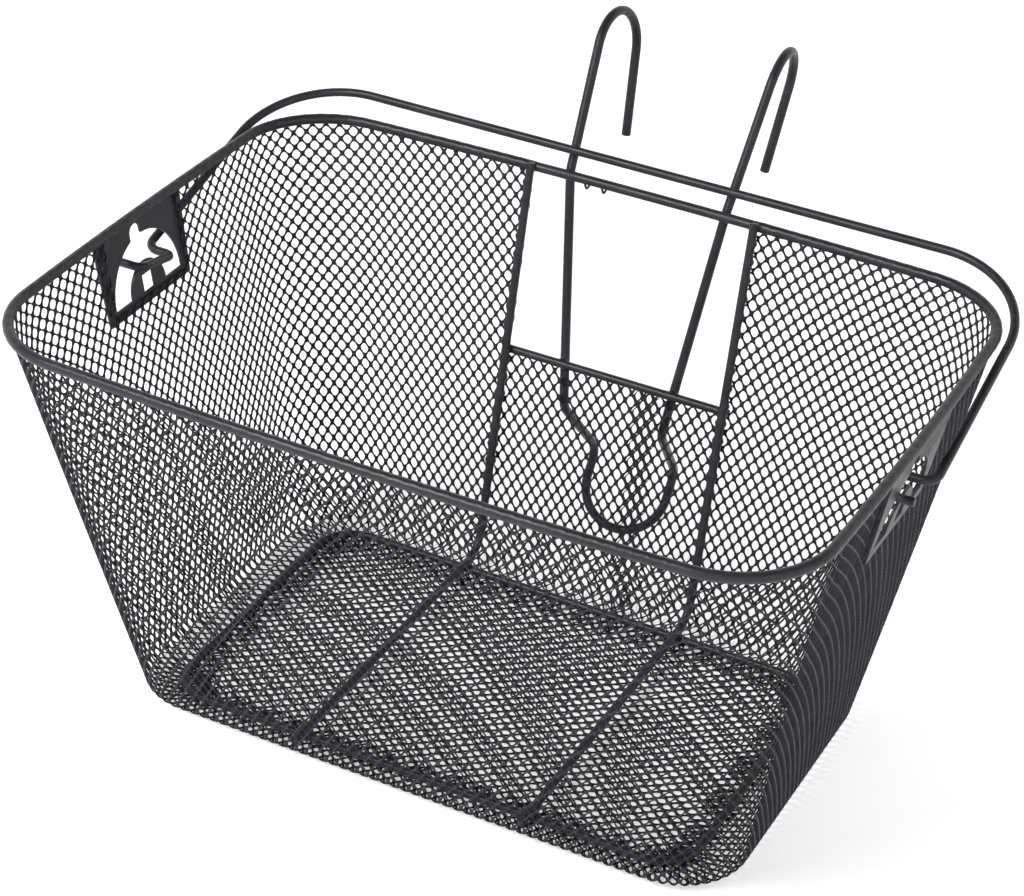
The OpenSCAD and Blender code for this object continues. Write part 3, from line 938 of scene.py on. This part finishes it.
def weld_ring(side, tag):
    """A strut's two welds to the floor ring."""
    x = side * STRUT_X
    for end, ring_y in (("rear", RING_SHIFT + RING_DEPTH / 2), ("front", RING_SHIFT - RING_DEPTH / 2)):
        name = f"weld_ring_{end}_{tag}"
        on_ring, on_strut = (x, ring_y, RING_Z), (x, ring_y, strut_floor_z)
        cross_weld(name, on_ring, x_dir, RING_D / 2, on_strut, y_dir, STRUT_D / 2)


for side, tag in ((-1, "left"), (1, "right")):
    weld_strut(side, tag)
    weld_hook(side, tag)
    weld_ring(side, tag)

# ---------- stubs left by trimming the sheet out of the rear opening ----------

# their places along X, and the drop, half spread, wire radius and bend radius of each
TRIM_XS, TRIM_DROP, TRIM_SPREAD, TRIM_RADIUS, TRIM_BEND = (-29.5, -20.5), 2.6, 1.4, 0.55, 0.5
# how far a stub stands inside the rim's middle, and how far its ends run up into the rim
TRIM_INSET, TRIM_SINK = 0.4, 0.6
for i, x in enumerate(TRIM_XS):
    y = RIM_DEPTH / 2 - TRIM_INSET
    corner = np.array([x, y - TRIM_DROP * REAR_SLOPE, RIM_H - RIM_D / 2 - TRIM_DROP])
    ends = [np.array([x + s * TRIM_SPREAD, y, RIM_H - RIM_D / 2 + TRIM_SINK]) for s in (-1, 1)]
    trim_path = bent_path([ends[0], corner, ends[1]], [0, TRIM_BEND, 0])
    stub = tube(f"trim_stub_{i + 1}", trim_path, TRIM_RADIUS, sides=10)
    finish_piece(stub, "mesh")

# ---------- stage, camera and light, in metres ----------

# the flat floor's radius, the bend's radius, the backdrop's top, the sides, and degrees from ring to ring
STAGE_RADIUS, STAGE_BEND, STAGE_TOP, STAGE_SIDES, STAGE_STEP = 2.2, 0.9, 2.6, 72, 10
STAGE_TONE, STAGE_ROUGHNESS, STAGE_GLOW = 0.85, 0.9, 0.46


def stage_floor():
    """A pale floor that curves up into a backdrop all round."""
    bend = [math.radians(a) for a in range(0, 91, STAGE_STEP)]
    profile = [(STAGE_RADIUS + STAGE_BEND * math.sin(a), STAGE_BEND * (1 - math.cos(a))) for a in bend]
    profile.append((STAGE_RADIUS + STAGE_BEND, STAGE_TOP))
    turns = [2 * math.pi * k / STAGE_SIDES for k in range(STAGE_SIDES)]
    vertices = [(r * math.cos(t), r * math.sin(t), z) for r, z in profile for t in turns]
    faces = [tuple(range(STAGE_SIDES))]
    for i in range(len(profile) - 1):
        for k in range(STAGE_SIDES):
            j, m = i * STAGE_SIDES, (k + 1) % STAGE_SIDES
            faces.append((j + k, j + STAGE_SIDES + k, j + STAGE_SIDES + m, j + m))
    sheet = mesh_object("stage_floor", vertices, faces)
    sheet.data.polygons[0].use_smooth = False
    sheet.data.materials.append(stage_white())


def stage_white():
    material = bpy.data.materials.new("stage_white")
    material.use_nodes = True
    shader = material.node_tree.nodes["Principled BSDF"]
    shader.inputs["Base Color"].default_value = (STAGE_TONE, STAGE_TONE, STAGE_TONE, 1)
    shader.inputs["Roughness"].default_value = STAGE_ROUGHNESS
    shader.inputs["Emission Color"].default_value = (1, 1, 1, 1)
    shader.inputs["Emission Strength"].default_value = STAGE_GLOW
    return material


# place, aim, diameter and power of each light, and the tint and strength of the sky
LIGHTS = {
    "key": ((-0.8, -1.1, 1.6), (0, 0, 0.1), 0.7, 24),
    "fill": ((1.5, -0.7, 0.9), (0, 0, 0.1), 0.6, 1.2),
    "front": ((-0.3, -0.9, 0.8), (0, -0.14, 0.2), 0.3, 3.0),
}
SKY_TINT, SKY_STRENGTH = (0.98, 0.97, 1, 1), 0.12


def soft_light(name, place, aim, size, power):
    data = bpy.data.lights.new(name, "AREA")
    data.shape = "DISK"
    data.size = size
    data.energy = power
    light = bpy.data.objects.new(name, data)
    light.location = place
    light.rotation_euler = (Vector(aim) - Vector(place)).to_track_quat("-Z", "Y").to_euler()
    bpy.context.scene.collection.objects.link(light)


# the camera's place in metres, its angles, and its lens and sensor in millimetres
CAMERA_AT = (0.4852, -1.0179, 0.8478)
CAMERA_YAW, CAMERA_PITCH, CAMERA_ROLL = math.radians(-25.80), math.radians(31.91), math.radians(3.03)
CAMERA_LENS, SENSOR = 103.55, 36
SHIFT_X, SHIFT_Y = 0.023, -0.005


def make_camera():
    data = bpy.data.cameras.new("camera")
    data.sensor_width = SENSOR
    data.lens = CAMERA_LENS
    data.shift_x = SHIFT_X
    data.shift_y = SHIFT_Y
    forward = Vector((
        math.sin(CAMERA_YAW) * math.cos(CAMERA_PITCH),
        math.cos(CAMERA_YAW) * math.cos(CAMERA_PITCH),
        -math.sin(CAMERA_PITCH),
    ))
    level = Vector((math.cos(CAMERA_YAW), -math.sin(CAMERA_YAW), 0))
    above = level.cross(forward)
    right = level * math.cos(CAMERA_ROLL) + above * math.sin(CAMERA_ROLL)
    up = right.cross(forward)
    turn = Matrix((right, up, -forward)).transposed().to_4x4()
    camera = bpy.data.objects.new("camera", data)
    camera.matrix_world = Matrix.Translation(CAMERA_AT) @ turn
    bpy.context.scene.collection.objects.link(camera)
    bpy.context.scene.camera = camera


def make_sky():
    world = bpy.data.worlds.new("studio")
    world.use_nodes = True
    background = world.node_tree.nodes["Background"]
    background.inputs["Color"].default_value = SKY_TINT
    background.inputs["Strength"].default_value = SKY_STRENGTH
    bpy.context.scene.world = world


stage_floor()
make_camera()
make_sky()
bpy.context.scene.view_settings.view_transform = "Standard"
for name, light in LIGHTS.items():
    soft_light(name, *light)
